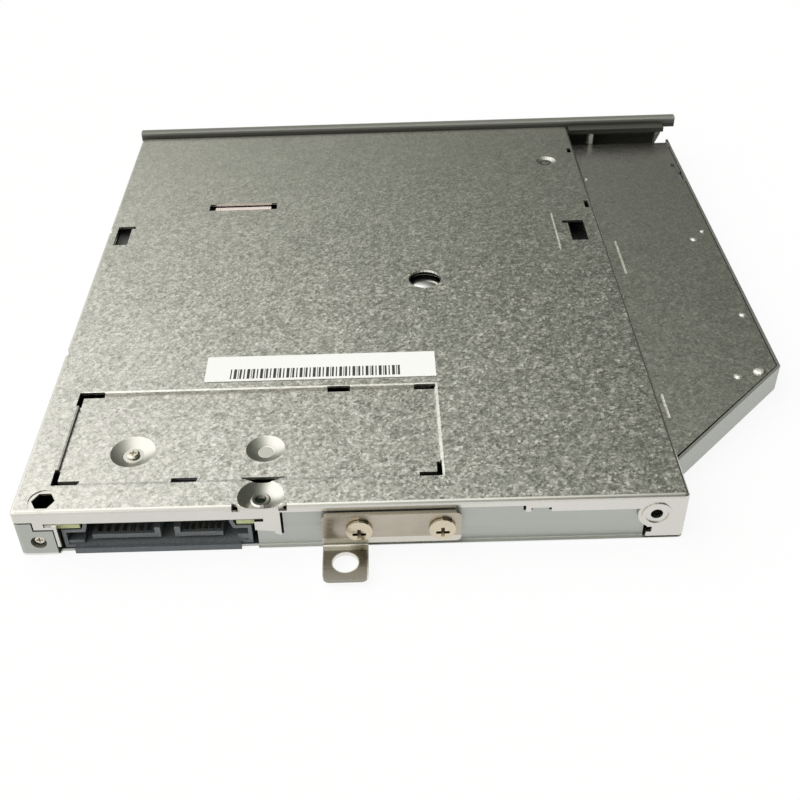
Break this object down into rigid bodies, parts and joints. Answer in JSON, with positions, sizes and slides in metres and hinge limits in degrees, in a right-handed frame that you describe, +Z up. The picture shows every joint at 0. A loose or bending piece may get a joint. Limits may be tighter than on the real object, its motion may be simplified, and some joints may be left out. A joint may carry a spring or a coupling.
{
  "type": "slim internal optical disc writer",
  "caption": "Slim tray-loading optical disc writer for a portable computer, lying underside up, with its front bezel, rear data socket and mounting bracket.",
  "frame": {"origin": "centre of the bounding box's bottom, on the outer face of the top cover that the drive lies on", "axes": "+Z up, out of the drive's underside; +Y towards the front bezel, the way the tray opens; +X towards the stepped wing"},
  "size_m": [0.1296, 0.1376, 0.0108],
  "materials": {
    "galvanised": "hot-dip galvanised sheet with a fine mottled spangle",
    "plain_steel": "smooth plated sheet steel",
    "bright_steel": "bright drawn steel",
    "nickel": "satin nickel plate",
    "brass": "passivated yellow",
    "copper": "enamelled copper winding",
    "gold": "gold flash on copper",
    "zinc": "die-cast zinc",
    "black_plastic": "black glass-filled plastic",
    "slate_plastic": "slate black plastic",
    "bezel_plastic": "fine textured dark plastic",
    "white_plastic": "natural white plastic",
    "clear_plastic": "clear acrylic",
    "rubber": "soft black rubber",
    "board": "yellow-green solder mask",
    "ribbon": "pinkish white film with fine tracks",
    "lens": "coated lens",
    "paper": "blank white label paper"
  },
  "bodies": {
    "chassis": {"top_cover": "plain_steel", "bottom_cover": "galvanised", "left_guide": "black_plastic", "right_guide": "black_plastic", "main_board": "board", "sata_socket": "slate_plastic", "signal_contacts": "gold", "power_contacts": "gold", "controller_chip": "black_plastic", "memory_chip": "black_plastic", "driver_chip": "black_plastic", "board_connector": "white_plastic", "board_ribbon": "ribbon", "board_nut": "brass", "board_screw": "brass", "latch_post": "bright_steel", "pusher_housing": "black_plastic", "pusher_spring": "bright_steel", "rear_bracket": "nickel", "bracket_screw_1": "nickel", "bracket_screw_2": "nickel", "corner_screw": "bright_steel", "label": "paper"},
    "tray": {"tray": "black_plastic", "front_bezel": "bezel_plastic", "light_pipe": "clear_plastic", "front_board": "board", "eject_switch": "white_plastic", "traverse_frame": "plain_steel", "motor_base": "bright_steel", "left_shaft": "bright_steel", "right_shaft": "bright_steel", "sled_motor": "bright_steel", "damper_1": "rubber", "damper_2": "rubber", "damper_3": "rubber", "damper_screw_1": "bright_steel", "damper_screw_2": "bright_steel", "damper_screw_3": "bright_steel", "tray_shield": "plain_steel", "tray_board": "board", "tray_connector": "white_plastic", "tray_ribbon": "ribbon", "magnet_yoke": "plain_steel", "magnet_coil": "copper"},
    "left_rail": {"left_rail": "bright_steel"},
    "right_rail": {"right_rail": "bright_steel"},
    "button": {"eject_button": "bezel_plastic"},
    "spindle": {"spindle_rotor": "bright_steel", "hub_clamp": "slate_plastic", "clamp_ball_1": "bright_steel", "clamp_ball_2": "bright_steel", "clamp_ball_3": "bright_steel"},
    "sled": {"pickup_sled": "zinc", "pickup_lens": "lens"},
    "screw": {"lead_screw": "brass"},
    "latch": {"latch_lever": "white_plastic"},
    "pusher": {"eject_pusher": "white_plastic"}
  },
  "joints": [
    {"name": "tray_slide", "type": "slide", "parent": "chassis", "child": "tray", "axis": [0, 1, 0], "range_m": [0, 0.125]},
    {"name": "left_rail_slide", "type": "slide", "parent": "chassis", "child": "left_rail", "axis": [0, 1, 0], "range_m": [0, 0.0625]},
    {"name": "right_rail_slide", "type": "slide", "parent": "chassis", "child": "right_rail", "axis": [0, 1, 0], "range_m": [0, 0.0625]},
    {"name": "pusher_slide", "type": "slide", "parent": "chassis", "child": "pusher", "axis": [0, 1, 0], "range_m": [0, 0.004]},
    {"name": "eject_press", "type": "slide", "parent": "tray", "child": "button", "axis": [0, -1, 0], "range_m": [0, 0.0006], "stiffness_N_per_m": 500, "springref_m": -0.0002},
    {"name": "spindle_spin", "type": "hinge", "parent": "tray", "child": "spindle", "pos_m": [0.00125, 0.00003, 0.0026], "axis": [0, 0, 1], "continuous": true},
    {"name": "sled_travel", "type": "slide", "parent": "tray", "child": "sled", "axis": [-0.7071, 0.7071, 0], "range_m": [0, 0.0335]},
    {"name": "screw_spin", "type": "hinge", "parent": "tray", "child": "screw", "pos_m": [0.00577, 0.0218, 0.0063], "axis": [0.7071, -0.7071, 0], "range_deg": [0, 4022]},
    {"name": "latch_swing", "type": "hinge", "parent": "tray", "child": "latch", "pos_m": [0.02145, 0.05242, 0.005], "axis": [0, 0, 1], "range_deg": [0, 22]}
  ],
  "couplings": [
    {"joint": "left_rail_slide", "follows": "tray_slide", "ratio": 0.5},
    {"joint": "right_rail_slide", "follows": "tray_slide", "ratio": 0.5},
    {"joint": "pusher_slide", "follows": "tray_slide", "ratio": 0.032},
    {"joint": "screw_spin", "follows": "sled_travel", "rad_per_m": 2094.4}
  ]
}
